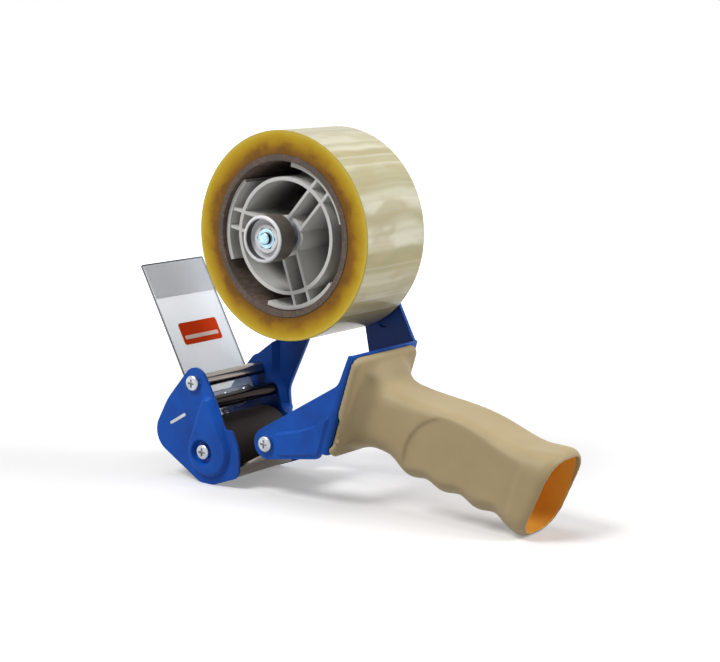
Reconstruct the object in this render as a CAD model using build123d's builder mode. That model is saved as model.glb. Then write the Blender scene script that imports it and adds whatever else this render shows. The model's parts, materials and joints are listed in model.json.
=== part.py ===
from build123d import *
from math import atan2, cos, degrees, hypot, pi, radians, sin, tan
import os

os.makedirs("parts", exist_ok=True)

# Hand-held dispenser for packing tape, in millimetres.
# +X runs towards the handle, +Y towards the side that carries the hub, +Z up.
# The origin lies on the table, under the middle of the whole dispenser.
# Side-view places are pairs: distance from the hub axis towards the handle, height above the table.
# Distances across the dispenser are counted from the middle of the tape, and the far side is positive.

# Reach of the whole dispenser from the hub axis and from the middle of the tape
handle_reach = 156.7
flap_reach = 95.8
knob_reach = 41.0
nut_reach = 39.0
hub_x = (flap_reach - handle_reach) / 2
mid_y = (knob_reach - nut_reach) / 2

# Tape roll and the hub that carries it
tape_width = 50.0
tape_outer_d = 107.0
core_bore_d = 76.2
core_wall = 3.2
core_overhang = 0.4
winding_bevel = 0.3
hub_height = 135.7
hub_at = (0.0, hub_height)

# Pressed steel sheet of the frame and of the loose cheek
sheet_t = 2.0
cheek_t = 1.6
head_gap = 53.0
joggle_depth = 3.5
ramp = 40.0
head_far = head_gap / 2
leg_far = head_far + joggle_depth
near_face = head_gap / 2 + cheek_t

# Places of the bars and of the roller in the head
top_pin_at = (-54.9, 53.4)
lower_pin_at = (-45.3, 43.2)
roller_at = (-47.4, 17.3)
rear_pin_at = (-5.7, 28.1)
bar_d = 7.0
bar_bevel = 0.4
pin_spigot = 1.2
pin_rivet_d = 5.6
pin_rivet_h = 1.2
pin_rivet_taper = 25.0
arm_tip_r = 8.2

# Rubber roller
roller_d = 33.2
rubber_t = 6.0
rubber_bevel = 0.6
running_gap = 0.05
bush_flange_d = 12.0
bush_spigot_d = 10.0
bush_spigot = 8.0
bush_relief = 0.4
side_gap = 0.3
core_relief_depth = 9.0
core_relief_wall = 2.2

# Cross-recess screws
screw_d = 4.0
screw_head_d = 8.3
screw_head_h = 2.7
screw_reach = 8.0
thread_gap = 0.05
recess_span = 4.4
recess_slot = 1.1
recess_depth = 1.6
head_edge_share = 0.45
shank_bevel = 0.5
tap_spare = 1.0
nut_corner_share = 0.56
nut_corner_taper = 8.0

# Teardrop boss pressed into the loose cheek, with the roller screw's seat
boss_rise = 3.0
boss_top_r = 4.4
boss_low_r = 14.0
boss_low_at = (-44.2, 17.8)
seat_r = 7.0
boss_edge_r = 1.6
press_taper = 30.0
seat_taper = 20.0

# Blade holder, blade and flap
tab_at = (-66.3, 32.4)
tab_length = 12.4
tab_gap = 0.15
holder_slope = 31.0
holder_t = 1.6
holder_front = 9.0
holder_back = 11.4
holder_bend_r = 1.6
holder_upturn = 7.0
flap_slope = 118.7
flap_t = 0.9
flap_width = 50.0
flap_length = 82.0
flap_foot_r = 7.0
flap_tip_r = 1.0
flap_start = 1.2
clamp_t = 1.0
clamp_width = 44.0
clamp_height = 4.6
rivet_d = 2.4
rivet_head_d = 3.8
rivet_head_h = 0.9
rivet_head_taper = 30.0
rivet_pitch = 16.0
blade_t = 0.8
blade_end_gap = 1.5
blade_back = 8.0
blade_nose = 3.2
tooth_count = 20
tooth_depth = 2.0
blade_screw_d = 3.0
blade_screw_head_d = 5.6
blade_screw_head_h = 1.8
blade_screw_pitch = 32.0
blade_screw_back = 3.2
blade_nut_af = 5.5
blade_nut_h = 2.4
blade_screw_past = 0.6

# Guard plate behind the roller
guard_t = 1.2
guard_width = 48.0
guard_knee = (-27.5, 11.2)
guard_lip = (-30.2, 5.2)
guard_lip_r = 5.0
guard_leave = 299.5
guard_spring_wire = 1.0
guard_spring_turns = 4.25

# Slanted back plate and near arm
lean = 16.4
flange_foot = (32.1, 27.4)
flange_height = 54.5
arm_panel_rise = 1.4
bend_r = 3.0
bend_return = 1.0
panel_taper = 45.0

# Handle
flange_near = 27.6
flange_far = 26.4
flange_t = 4.4
flange_corner = 5.0
handle_wall = 2.8
finger_pitch = 20.0
finger_depth = 2.4
first_bump = 70.0
bump_count = 3
notch_depth = 2.6
palm_panel_half = 13.44
palm_panel_fade = 0.03
palm_panel_depth = 12.0
handle_screw_rows = (10.0, 44.0)
grip_half = 17.0
grip_round = 0.78
neck_flare = 8.0
neck_end = 0.16
end_flare = 1.6
palm_round = 5.0
lip_start = 0.965
lip_round = 1.7
section_count = 24
bore_start = 4
handle_screw_pitch = 36.0
handle_screw_cover = 1.0

# Hub moulding
ring_d = 60.0
ring_wall = 2.0
boss_d = 21.0
arc_wall = 2.2
arc_span = 70.0
arc_gap = 0.45
rib_wall = 1.6
rib_root = 2.0
rib_spread = 9.4
rib_turn = 49.0
pair_count = 3
hub_flange_d = 84.0
hub_flange_t = 1.6
hub_flange_gap = 0.8
flange_hole_r = 19.5
flange_hole_span = 62.0
flange_hole_w = 11.0
arc_recess = 2.2
ring_recess = 2.8
boss_recess = 4.0

# Hub axle, brake spring and knob
axle_d = 8.0
thread_d = 6.0
friction_washer_t = 2.0
friction_washer_d = 24.0
thrust_washer_t = 1.2
thrust_washer_d = 18.0
spring_wire = 1.3
spring_d = 13.5
spring_turns = 3.0
knob_d = 24.0
knob_length = 12.3
knob_cup_depth = 5.0
knob_rim = 1.7
knob_nut_rise = 1.4
knob_nut_wall = 2.2
knob_lip_r = 1.2
knob_bevel = 0.5
axle_end_gap = 1.5
axle_bevel = 0.6
nut_af = 10.0
nut_h = 4.0
axle_washer_t = 1.2
axle_washer_d = 14.0


def across(y):
    """Plane across the dispenser at a distance from the middle of the tape, facing the near side."""
    return Plane(origin=(hub_x, mid_y + y, 0), x_dir=(1, 0, 0), z_dir=(0, -1, 0))


def seat(at, y, outwards):
    """Plane at a side-view place, facing the near side (-1) or the far side (1)."""
    origin = (hub_x + at[0], mid_y + y, at[1])
    return Plane(origin=origin, x_dir=(-outwards, 0, 0), z_dir=(0, outwards, 0))


def step(start, angle, length):
    """Side-view point a length from another, at an angle above +X."""
    return (start[0] + length * cos(radians(angle)), start[1] + length * sin(radians(angle)))


def slanted(at, angle):
    """Plane through a side-view place whose local x runs across and whose normal has this angle."""
    normal = (cos(radians(angle)), 0, sin(radians(angle)))
    return Plane(origin=(hub_x + at[0], mid_y, at[1]), x_dir=(0, 1, 0), z_dir=normal)


def outline(plane, corners, radii):
    """Closed face with straight sides and rounded corners."""
    with BuildSketch(plane) as sketch:
        with BuildLine():
            FilletPolyline(*corners, radius=radii, close=True)
        make_face()
    return sketch.sketch


def disc(plane, at, radius):
    """Round face at a side-view place."""
    with BuildSketch(plane) as sketch:
        with Locations(at):
            Circle(radius)
    return sketch.sketch


def ring(plane, at, radius, bore):
    """Flat ring at a side-view place."""
    with BuildSketch(plane) as sketch:
        with Locations(at):
            Circle(radius)
            Circle(bore, mode=Mode.SUBTRACT)
    return sketch.sketch


def span(plane, first, first_r, second, second_r):
    """Face round two discs and the straight tangents that join them."""
    with BuildSketch(plane) as sketch:
        with Locations(first):
            Circle(first_r)
        with Locations(second):
            Circle(second_r)
        make_hull()
    return sketch.sketch


def strip(plane, places, bends, thickness):
    """Edge-on profile of a bent sheet that follows a line of places."""
    with BuildSketch(plane) as sketch:
        with BuildLine():
            FilletPolyline(*places, radius=bends)
        trace(line_width=thickness)
    return sketch.sketch


def pan_screw(shank_d, head_d, head_h, reach):
    """Cross-recess screw along Z, with the underside of its head at zero."""
    with BuildPart() as screw:
        with BuildSketch(Plane.XY):
            Circle(head_d / 2)
        extrude(amount=head_h)
        fillet(screw.faces().sort_by(Axis.Z)[-1].edges(), head_h * head_edge_share)
        with BuildSketch(Plane.XY.offset(head_h - recess_depth * head_d / screw_head_d)):
            for turn in (0, 90):
                with Locations(Location((0, 0, 0), turn)):
                    Rectangle(recess_span * head_d / screw_head_d, recess_slot * head_d / screw_head_d)
        extrude(amount=head_h, mode=Mode.SUBTRACT)
        with BuildSketch(Plane.XY):
            Circle(shank_d / 2 - thread_gap)
        extrude(amount=-reach)
        chamfer(screw.faces().sort_by(Axis.Z)[0].edges(), shank_bevel)
    return screw.part


def hex_nut(across_flats, height, bore_d):
    """Hexagon nut along Z from zero, with its bore."""
    with BuildPart() as nut:
        with BuildSketch(Plane.XY):
            RegularPolygon(across_flats / 2, 6, major_radius=False)
            Circle(bore_d / 2 + thread_gap, mode=Mode.SUBTRACT)
        extrude(amount=height)
        # The corners are turned off on top
        with BuildSketch(Plane.XY):
            Circle(across_flats * nut_corner_share)
        extrude(amount=height, taper=nut_corner_taper, mode=Mode.INTERSECT)
    return nut.part


def coil_spring(wire, radius, height, turns):
    """Round-wire coil along Z, from the middle of its first turn at zero."""
    with BuildPart() as spring:
        with BuildLine() as coil:
            Helix(height / turns, height, radius)
        with BuildSketch(Plane(origin=coil.line @ 0, z_dir=coil.line % 0)):
            Circle(wire / 2)
        sweep(path=coil.line, is_frenet=True)
    return spring.part


def save(builder, name):
    """Label a finished piece and write it under its own name."""
    builder.part.label = name
    export_step(builder.part, f"parts/{name}.step")


# Cheek outline, shared by the loose near cheek and the head end of the frame
cheek_corners = [
    (-53.3, 67.0),
    (-73.5, 42.6),
    (-85.2, 20.2),
    (-50.6, 0.0),
    (-41.5, 0.0),
    (-24.2, 6.5),
    (-24.4, 21.0),
    (-29.3, 31.0),
    (-34.2, 31.0),
    (-39.8, 44.5),
]
cheek_radii = [7.6, 40.0, 12.0, 8.0, 8.0, 6.0, 14.0, 1.5, 2.0, 40.0]

# Slanted back plate: its plane faces the handle, with local x across and local y up the slope
slope_up = 90 - lean
flange_top = step(flange_foot, slope_up, flange_height)
back_plane = slanted(flange_foot, -lean)
bend_foot = step(flange_foot, 180 - lean, bend_r)
bend_top = step(flange_top, 180 - lean, bend_r)
near_arm_mid = near_face - sheet_t / 2
leg_mid = leg_far + sheet_t / 2

# Far side of the frame: front leg, rear leg with the lower arm, and the round hub plate
front_leg = [
    (-64.0, 49.0),
    (-61.8, 56.8),
    (-41.5, 72.2),
    (-18.0, 121.0),
    (4.0, 134.0),
    (-25.0, 70.3),
    (-36.9, 43.8),
    (-35.5, 31.5),
    (-34.0, 24.0),
]
front_leg_radii = [0.0, 5.0, 14.0, 0.0, 0.0, 40.0, 12.0, 4.0, 0.0]
rear_leg = [
    (4.0, 128.0),
    (16.5, 134.0),
    bend_top,
    bend_foot,
    (27.2, 25.0),
    (-4.0, 19.8),
    (-30.0, 19.8),
    (-36.0, 31.0),
    (-10.0, 34.6),
    (20.4, 52.4),
    (14.2, 83.0),
]
rear_leg_radii = [0.0, 0.0, 1.0, 0.5, 3.0, 10.0, 0.0, 0.0, 10.0, 6.0, 40.0]
hub_plate_r = 21.0
ramp_shift = sheet_t * tan(radians(ramp) / 2)

# Head side of the step that sets the legs further out than the cheek
head_zone = [
    (-44.0, 90.0),
    (-43.8, 52.0),
    (-38.4, 43.0),
    (-36.8, 33.5),
    (-26.0, 31.0),
    (-19.6, -12.0),
    (-100.0, -12.0),
    (-100.0, 90.0),
]
head_zone_radii = [0.0, 9.0, 9.0, 4.0, 9.0, 0.0, 0.0, 0.0]
leg_beads = [((-32.5, 73.0), (-13.0, 110.0)), ((25.5, 89.0), (14.0, 113.0))]
bead_r = 4.2
bead_depth = 1.2

# Near arm, from the back plate forwards to the rear bar
near_arm = [
    (-10.0, 35.1),
    (31.0, 59.7),
    (38.0, 78.0),
    bend_top,
    bend_foot,
    (27.2, 25.0),
    (-4.6, 20.0),
]
near_arm_radii = [0.0, 0.0, 0.0, 0.0, 0.5, 3.0, 0.0]
arm_trim = [(31.0, 59.7), (39.2, 64.7), (45.3, 80.6), (45.3, 90.0), (31.0, 90.0)]
arm_trim_radii = [0.0, 8.0, 0.0, 0.0, 0.0]
arm_panel = [
    (-0.6, 34.6),
    (16.0, 38.8),
    (27.0, 43.2),
    (30.6, 47.2),
    (34.8, 48.2),
    (28.6, 27.0),
    (-0.6, 22.0),
]
arm_panel_radii = [3.0, 20.0, 4.0, 2.0, 1.0, 3.0, 4.0]

# Blade holder in the side view, from its front edge to the top of its upturned rear
holder_nose_at = step(tab_at, holder_slope + 180, holder_front)
holder_bend_at = step(tab_at, holder_slope, holder_back)
holder_top_at = step(holder_bend_at, flap_slope, holder_upturn)
flap_side = flap_slope - 90
flap_foot_at = step(step(holder_bend_at, flap_slope, flap_start), flap_side, holder_t / 2)
flap_plane = slanted(flap_foot_at, flap_side)
blade_face_at = step(holder_nose_at, holder_slope + 90, holder_t / 2)
blade_plane = slanted(blade_face_at, holder_slope + 90)
rivet_up = holder_upturn / 3
rivet_places = [(-rivet_pitch, rivet_up), (0, rivet_up), (rivet_pitch, rivet_up)]
blade_screw_places = [(side * blade_screw_pitch / 2, -blade_screw_back) for side in (1, -1)]

# Lines of the handle in the side view, from the flange to the open end
handle_top = [
    (51.0, 77.5),
    (53.8, 70.6),
    (57.6, 65.8),
    (62.5, 63.2),
    (70.6, 60.8),
    (82.0, 58.6),
    (97.0, 56.0),
    (112.0, 52.2),
    (127.3, 46.9),
    (139.5, 44.3),
    (150.0, 44.4),
    (157.4, 42.9),
]
handle_under = [
    (36.2, 27.2),
    (42.0, 29.4),
    (48.5, 30.0),
    (54.6, 27.8),
    (60.0, 24.2),
    (70.0, 19.2),
    (90.0, 14.4),
    (110.0, 9.3),
    (126.0, 4.2),
    (133.0, 1.0),
    (139.0, 0.0),
]
flange_notch = [
    (38.6, 49.3),
    (40.3, 44.1),
    (39.5, 39.5),
    (38.0, 33.5),
    (33.0, 31.4),
    (28.0, 31.4),
    (34.0, 49.3),
]
notch_radii = [1.0, 4.0, 8.0, 2.0, 0.0, 0.0, 0.0]
palm_crease = [
    (71.7, 33.3),
    (78.5, 46.5),
    (87.1, 52.3),
    (95.2, 54.0),
    (106.0, 53.0),
    (118.7, 49.6),
    (129.0, 44.6),
    (139.5, 38.0),
]
palm_panel_low = [(124.0, -20.0), (62.0, -20.0)]

handle_screw_plane = back_plane.offset(-sheet_t)
handle_screw_places = [
    (side * handle_screw_pitch / 2, row) for row in handle_screw_rows for side in (1, -1)
]
handle_screw_reach = sheet_t + flange_t - handle_screw_cover

# Room inside the legs, which stops at the ramp of the step
with BuildPart() as leg_room:
    with BuildSketch(across(leg_far)):
        with Locations(hub_at):
            Rectangle(2 * hub_height, 2 * hub_height + bar_d)
    extrude(amount=joggle_depth)
    with BuildSketch(across(leg_far)):
        offset(outline(Plane.XY, head_zone, head_zone_radii), ramp_shift)
    extrude(amount=joggle_depth, taper=ramp, mode=Mode.SUBTRACT)

with BuildPart() as main_frame:
    with BuildSketch(across(leg_far + sheet_t)):
        add(outline(Plane.XY, front_leg, front_leg_radii))
        add(outline(Plane.XY, rear_leg, rear_leg_radii))
        add(outline(Plane.XY, cheek_corners, cheek_radii))
        add(disc(Plane.XY, hub_at, hub_plate_r))
    extrude(amount=joggle_depth + sheet_t)
    # The head end is pressed inwards, and the legs stay outside the roll
    head_step = outline(across(leg_far + sheet_t), head_zone, head_zone_radii)
    extrude(head_step, amount=joggle_depth, taper=ramp, mode=Mode.SUBTRACT)
    add(leg_room.part, mode=Mode.SUBTRACT)
    # Stiffening beads pressed outwards along both legs
    for bead_low, bead_high in leg_beads:
        ridge = span(across(leg_far + sheet_t), bead_low, bead_r + sheet_t, bead_high, bead_r + sheet_t)
        extrude(ridge, amount=-bead_depth, taper=press_taper)
        groove = span(across(leg_far), bead_low, bead_r, bead_high, bead_r)
        extrude(groove, amount=-bead_depth, taper=press_taper, mode=Mode.SUBTRACT)
    # Slanted back plate, bent forwards at both sides into the legs and the near arm
    channel = strip(
        Plane(origin=back_plane.origin, x_dir=(0, 1, 0), z_dir=back_plane.y_dir),
        [
            (-near_arm_mid, bend_r + bend_return),
            (-near_arm_mid, sheet_t / 2),
            (leg_mid, sheet_t / 2),
            (leg_mid, bend_r + bend_return),
        ],
        [bend_r - sheet_t / 2, bend_r - sheet_t / 2],
        sheet_t,
    )
    extrude(channel, amount=flange_height)
    with BuildSketch(across(-(near_face - sheet_t))):
        add(outline(Plane.XY, near_arm, near_arm_radii))
        add(disc(Plane.XY, rear_pin_at, arm_tip_r))
    extrude(amount=sheet_t)
    trim = outline(across(-near_face), arm_trim, arm_trim_radii)
    extrude(trim, amount=-2 * bend_r, mode=Mode.SUBTRACT)
    bulge = outline(across(-near_face), arm_panel, arm_panel_radii)
    extrude(bulge, amount=arm_panel_rise, taper=panel_taper)
    # Holes for the axle, the bars, the roller axle, the tab and the handle screws
    for at, radius in (
        (hub_at, thread_d / 2),
        (top_pin_at, screw_d / 2),
        (lower_pin_at, screw_d / 2),
        (roller_at, screw_d / 2),
        (rear_pin_at, screw_d / 2),
    ):
        hole = disc(across(0), at, radius + thread_gap)
        extrude(hole, amount=leg_far + sheet_t, both=True, mode=Mode.SUBTRACT)
    with BuildSketch(across(head_far)):
        with Locations(Location((*tab_at, 0), holder_slope)):
            SlotOverall(tab_length + 2 * tab_gap, holder_t + 2 * tab_gap)
    extrude(amount=-2 * sheet_t, mode=Mode.SUBTRACT)
    with BuildSketch(back_plane.offset(-sheet_t)):
        with Locations(*handle_screw_places):
            Circle(screw_d / 2 + thread_gap)
    extrude(amount=sheet_t, mode=Mode.SUBTRACT)
save(main_frame, "main_frame")

# The back of the teardrop boss is hollow, except behind the roller screw's seat
with BuildPart() as boss_hollow:
    hollow = span(
        across(-head_far), lower_pin_at, boss_top_r - cheek_t, boss_low_at, boss_low_r - cheek_t
    )
    extrude(hollow, amount=boss_rise, taper=press_taper)
    seat_back = disc(across(-(near_face + boss_rise)), roller_at, seat_r + cheek_t)
    extrude(seat_back, amount=-(boss_rise + cheek_t), taper=seat_taper, mode=Mode.SUBTRACT)

with BuildPart() as near_head_plate:
    extrude(outline(across(-head_far), cheek_corners, cheek_radii), amount=cheek_t)
    boss = span(across(-near_face), lower_pin_at, boss_top_r, boss_low_at, boss_low_r)
    extrude(boss, amount=boss_rise, taper=press_taper)
    fillet(near_head_plate.faces().sort_by(Axis.Y)[0].edges(), boss_edge_r)
    screw_seat = disc(across(-(near_face + boss_rise)), roller_at, seat_r)
    extrude(screw_seat, amount=-boss_rise, taper=seat_taper, mode=Mode.SUBTRACT)
    add(boss_hollow.part, mode=Mode.SUBTRACT)
    for at in (top_pin_at, roller_at):
        hole = disc(across(-head_far), at, screw_d / 2 + thread_gap)
        extrude(hole, amount=cheek_t, mode=Mode.SUBTRACT)
    with BuildSketch(across(-head_far)):
        with Locations(Location((*tab_at, 0), holder_slope)):
            SlotOverall(tab_length + 2 * tab_gap, holder_t + 2 * tab_gap)
    extrude(amount=cheek_t, mode=Mode.SUBTRACT)
save(near_head_plate, "near_head_plate")


def tapped_bar(at, near_end, far_end, diameter):
    """Round bar between two cheeks, with a tapped hole in each end."""
    with BuildPart() as bar:
        extrude(disc(across(far_end), at, diameter / 2), amount=far_end - near_end)
        chamfer(bar.edges().filter_by(GeomType.CIRCLE), bar_bevel)
        for end, outwards in ((near_end, 1), (far_end, -1)):
            hole = disc(across(end), at, screw_d / 2)
            extrude(hole, amount=-outwards * (screw_reach + tap_spare), mode=Mode.SUBTRACT)
    return bar


top_guide_pin = tapped_bar(top_pin_at, -head_far, head_far, bar_d)
save(top_guide_pin, "top_guide_pin")
roller_axle = tapped_bar(roller_at, -head_far, head_far, bar_d)
save(roller_axle, "roller_axle")
rear_pin = tapped_bar(rear_pin_at, -(near_face - sheet_t), leg_far, bar_d)
save(rear_pin, "rear_pin")

# The lower bar is riveted: a spigot under the boss, and a rivet head outside the far cheek
with BuildPart() as lower_guide_pin:
    extrude(disc(across(head_far), lower_pin_at, bar_d / 2), amount=head_gap)
    chamfer(lower_guide_pin.edges().filter_by(GeomType.CIRCLE), bar_bevel)
    extrude(disc(across(-head_far), lower_pin_at, boss_top_r - cheek_t - pin_spigot), amount=pin_spigot)
    extrude(disc(across(head_far), lower_pin_at, screw_d / 2), amount=-sheet_t)
    rivet = disc(across(head_far + sheet_t), lower_pin_at, pin_rivet_d / 2)
    extrude(rivet, amount=-pin_rivet_h, taper=pin_rivet_taper)
save(lower_guide_pin, "lower_guide_pin")

screw = pan_screw(screw_d, screw_head_d, screw_head_h, screw_reach)
with BuildPart() as pan_head_screws:
    for at, near_y, far_y in (
        (top_pin_at, -near_face, head_far + sheet_t),
        (roller_at, -near_face, head_far + sheet_t),
        (rear_pin_at, -near_face, leg_far + sheet_t),
    ):
        with Locations(seat(at, near_y, -1).location, seat(at, far_y, 1).location):
            add(screw)
save(pan_head_screws, "pan_head_screws")

with BuildPart() as rubber_roller:
    tyre = ring(across(tape_width / 2), roller_at, roller_d / 2, roller_d / 2 - rubber_t)
    extrude(tyre, amount=tape_width)
    rims = rubber_roller.edges().filter_by(GeomType.CIRCLE).group_by(SortBy.RADIUS)[-1]
    chamfer(rims, rubber_bevel)
save(rubber_roller, "rubber_roller")

with BuildPart() as roller_core:
    sleeve = ring(across(tape_width / 2), roller_at, roller_d / 2 - rubber_t, bush_spigot_d / 2)
    extrude(sleeve, amount=tape_width)
    # Both ends are cored out between the bush seat and the outer wall
    for end, inwards in ((-tape_width / 2, -1), (tape_width / 2, 1)):
        pocket = ring(
            across(end),
            roller_at,
            roller_d / 2 - rubber_t - core_relief_wall,
            bush_flange_d / 2 + bush_relief,
        )
        extrude(pocket, amount=inwards * core_relief_depth, mode=Mode.SUBTRACT)
save(roller_core, "roller_core")

with BuildPart() as roller_bushes:
    for end, inwards in ((-tape_width / 2, -1), (tape_width / 2, 1)):
        bore = bar_d / 2 + running_gap
        spigot = ring(across(end), roller_at, bush_spigot_d / 2, bore)
        extrude(spigot, amount=inwards * bush_spigot)
        collar = ring(across(end), roller_at, bush_flange_d / 2, bore)
        extrude(collar, amount=-inwards * ((head_gap - tape_width) / 2 - side_gap))
save(roller_bushes, "roller_bushes")

with BuildPart() as blade_holder:
    profile = strip(
        across(head_far - tab_gap),
        [holder_nose_at, holder_bend_at, holder_top_at],
        [holder_bend_r],
        holder_t,
    )
    extrude(profile, amount=head_gap - 2 * tab_gap)
    with BuildSketch(across(head_far + sheet_t)):
        with Locations(Location((*tab_at, 0), holder_slope)):
            SlotOverall(tab_length, holder_t)
    extrude(amount=head_far + sheet_t + near_face)
    with BuildSketch(blade_plane):
        with Locations(*blade_screw_places):
            Circle(blade_screw_d / 2)
    extrude(amount=-holder_t, mode=Mode.SUBTRACT)
    with BuildSketch(flap_plane):
        with Locations(*rivet_places):
            Circle(rivet_d / 2)
    extrude(amount=-holder_t, mode=Mode.SUBTRACT)
save(blade_holder, "blade_holder")

blade_width = head_gap - 2 * blade_end_gap
tooth_pitch = blade_width / tooth_count
blade_edge = [(-blade_width / 2, -blade_back), (-blade_width / 2, blade_nose)]
for tooth in range(tooth_count):
    tooth_left = -blade_width / 2 + tooth * tooth_pitch
    blade_edge.append((tooth_left + tooth_pitch / 2, blade_nose + tooth_depth))
    blade_edge.append((tooth_left + tooth_pitch, blade_nose))
blade_edge.append((blade_width / 2, -blade_back))
with BuildPart() as cutter_blade:
    with BuildSketch(blade_plane):
        with BuildLine():
            Polyline(*blade_edge, close=True)
        make_face()
        with Locations(*blade_screw_places):
            Circle(blade_screw_d / 2, mode=Mode.SUBTRACT)
    extrude(amount=blade_t)
save(cutter_blade, "cutter_blade")

blade_screw_reach = blade_t + holder_t + blade_nut_h + blade_screw_past
blade_screw = pan_screw(blade_screw_d, blade_screw_head_d, blade_screw_head_h, blade_screw_reach)
blade_nut = hex_nut(blade_nut_af, blade_nut_h, blade_screw_d)
with BuildPart() as blade_screws:
    for x, y in blade_screw_places:
        with Locations(blade_plane.location * Location((x, y, blade_t))):
            add(blade_screw)
save(blade_screws, "blade_screws")
with BuildPart() as blade_nuts:
    for x, y in blade_screw_places:
        with Locations(blade_plane.location * Location((x, y, -holder_t), (0, 180, 0))):
            add(blade_nut)
save(blade_nuts, "blade_nuts")

with BuildPart() as tape_flap:
    with BuildSketch(flap_plane):
        with BuildLine():
            FilletPolyline(
                (-flap_width / 2, 0),
                (flap_width / 2, 0),
                (flap_width / 2, flap_length),
                (-flap_width / 2, flap_length),
                radius=[flap_foot_r, flap_foot_r, flap_tip_r, flap_tip_r],
                close=True,
            )
        make_face()
        with Locations(*rivet_places):
            Circle(rivet_d / 2, mode=Mode.SUBTRACT)
    extrude(amount=flap_t)
save(tape_flap, "tape_flap")

with BuildPart() as flap_clamp_strip:
    with BuildSketch(flap_plane.offset(flap_t)):
        with Locations((0, rivet_up)):
            SlotOverall(clamp_width, clamp_height)
        with Locations(*rivet_places):
            Circle(rivet_d / 2, mode=Mode.SUBTRACT)
    extrude(amount=clamp_t)
save(flap_clamp_strip, "flap_clamp_strip")

with BuildPart() as flap_rivets:
    for place in rivet_places:
        for plane, sense in ((flap_plane.offset(flap_t + clamp_t), 1), (flap_plane.offset(-holder_t), -1)):
            with BuildSketch(plane):
                with Locations(place):
                    Circle(rivet_head_d / 2)
            extrude(amount=sense * rivet_head_h, taper=rivet_head_taper)
        with BuildSketch(flap_plane.offset(-holder_t)):
            with Locations(place):
                Circle(rivet_d / 2 - thread_gap)
        extrude(amount=holder_t + flap_t + clamp_t)
save(flap_rivets, "flap_rivets")

# Guard plate: an eye rolled round the rear bar, a flat run forwards and a lip turned down by the roller
eye_bore = bar_d / 2 + running_gap
eye_r = eye_bore + guard_t
guard_start = step(rear_pin_at, guard_leave, eye_bore + guard_t / 2)
with BuildPart() as guard_plate:
    plate_profile = strip(
        across(guard_width / 2), [guard_start, guard_knee, guard_lip], [guard_lip_r], guard_t
    )
    extrude(plate_profile, amount=guard_width)
    extrude(ring(across(guard_width / 2), rear_pin_at, eye_r, eye_bore), amount=guard_width)
    extrude(disc(across(guard_width / 2), rear_pin_at, eye_bore), amount=guard_width, mode=Mode.SUBTRACT)
save(guard_plate, "guard_plate")

# Torsion spring beside the eye, with one leg along the plate and one short tail
guard_coil_r = bar_d / 2 + (guard_spring_wire + running_gap) / 2 + running_gap
guard_coil_plane = seat(rear_pin_at, guard_width / 2 + guard_spring_wire / 2 + side_gap, 1)
guard_coil_length = leg_far - guard_width / 2 - guard_spring_wire - 2 * side_gap
with BuildPart() as guard_spring:
    with Locations(guard_coil_plane.location):
        add(coil_spring(guard_spring_wire, guard_coil_r, guard_coil_length, guard_spring_turns))
save(guard_spring, "guard_spring")

# Hub: flange, ring, boss, three sprung arcs and a pair of ribs to each
hub_far = leg_far - friction_washer_t - side_gap
hub_flange_near = tape_width / 2 + hub_flange_gap
arc_mid_r = core_bore_d / 2 - arc_gap - arc_wall / 2
rib_start = boss_d / 2 - rib_root
rib_length = arc_mid_r - rib_start
rib_middle = (arc_mid_r + rib_start) / 2
ring_near = -(tape_width / 2 - ring_recess)
arc_near = -(tape_width / 2 - arc_recess)
boss_near = -(tape_width / 2 - boss_recess)
with BuildPart() as hub_moulding:
    extrude(disc(across(hub_flange_near + hub_flange_t), hub_at, hub_flange_d / 2), amount=hub_flange_t)
    wall = ring(across(hub_flange_near), hub_at, ring_d / 2, ring_d / 2 - ring_wall)
    extrude(wall, amount=hub_flange_near - ring_near)
    extrude(disc(across(hub_far), hub_at, boss_d / 2), amount=hub_far - boss_near)
    for pair in range(pair_count):
        turn = rib_turn + pair * 360 / pair_count
        with BuildSketch(across(hub_flange_near)):
            with BuildLine():
                CenterArc(hub_at, arc_mid_r, turn - arc_span / 2, arc_span)
            trace(line_width=arc_wall)
        extrude(amount=hub_flange_near - arc_near)
        with BuildSketch(across(hub_flange_near)):
            with Locations(Location((*hub_at, 0), turn)):
                with Locations((rib_middle, rib_spread / 2), (rib_middle, -rib_spread / 2)):
                    Rectangle(rib_length, rib_wall)
        extrude(amount=hub_flange_near - ring_near)
    # Holes through the flange between the pairs of ribs, inside the ring
    with BuildSketch(across(hub_flange_near + hub_flange_t)):
        for pair in range(pair_count):
            turn = rib_turn + (pair + 0.5) * 360 / pair_count
            with BuildLine():
                CenterArc(hub_at, flange_hole_r, turn - flange_hole_span / 2, flange_hole_span)
            trace(line_width=flange_hole_w)
    extrude(amount=hub_flange_t, mode=Mode.SUBTRACT)
    bore = disc(across(hub_far), hub_at, axle_d / 2 + running_gap)
    extrude(bore, amount=hub_far - boss_near, mode=Mode.SUBTRACT)
save(hub_moulding, "hub_moulding")

# Axle with a shoulder at both ends, clamped to the hub plate by its far nut
shoulder_near = boss_near - side_gap
knob_near = -knob_reach
knob_far = -(knob_reach - knob_length)
knob_floor = knob_near + knob_cup_depth
with BuildPart() as hub_axle:
    extrude(disc(across(leg_far), hub_at, axle_d / 2), amount=leg_far - shoulder_near)
    extrude(disc(across(nut_reach), hub_at, thread_d / 2), amount=nut_reach + knob_reach - axle_end_gap)
    chamfer(hub_axle.edges().group_by(Axis.Y)[0], axle_bevel)
    chamfer(hub_axle.edges().group_by(Axis.Y)[-1], axle_bevel)
save(hub_axle, "hub_axle")

with BuildPart() as friction_washer:
    washer = ring(across(leg_far), hub_at, friction_washer_d / 2, axle_d / 2 + thread_gap)
    extrude(washer, amount=friction_washer_t)
save(friction_washer, "friction_washer")

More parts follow.
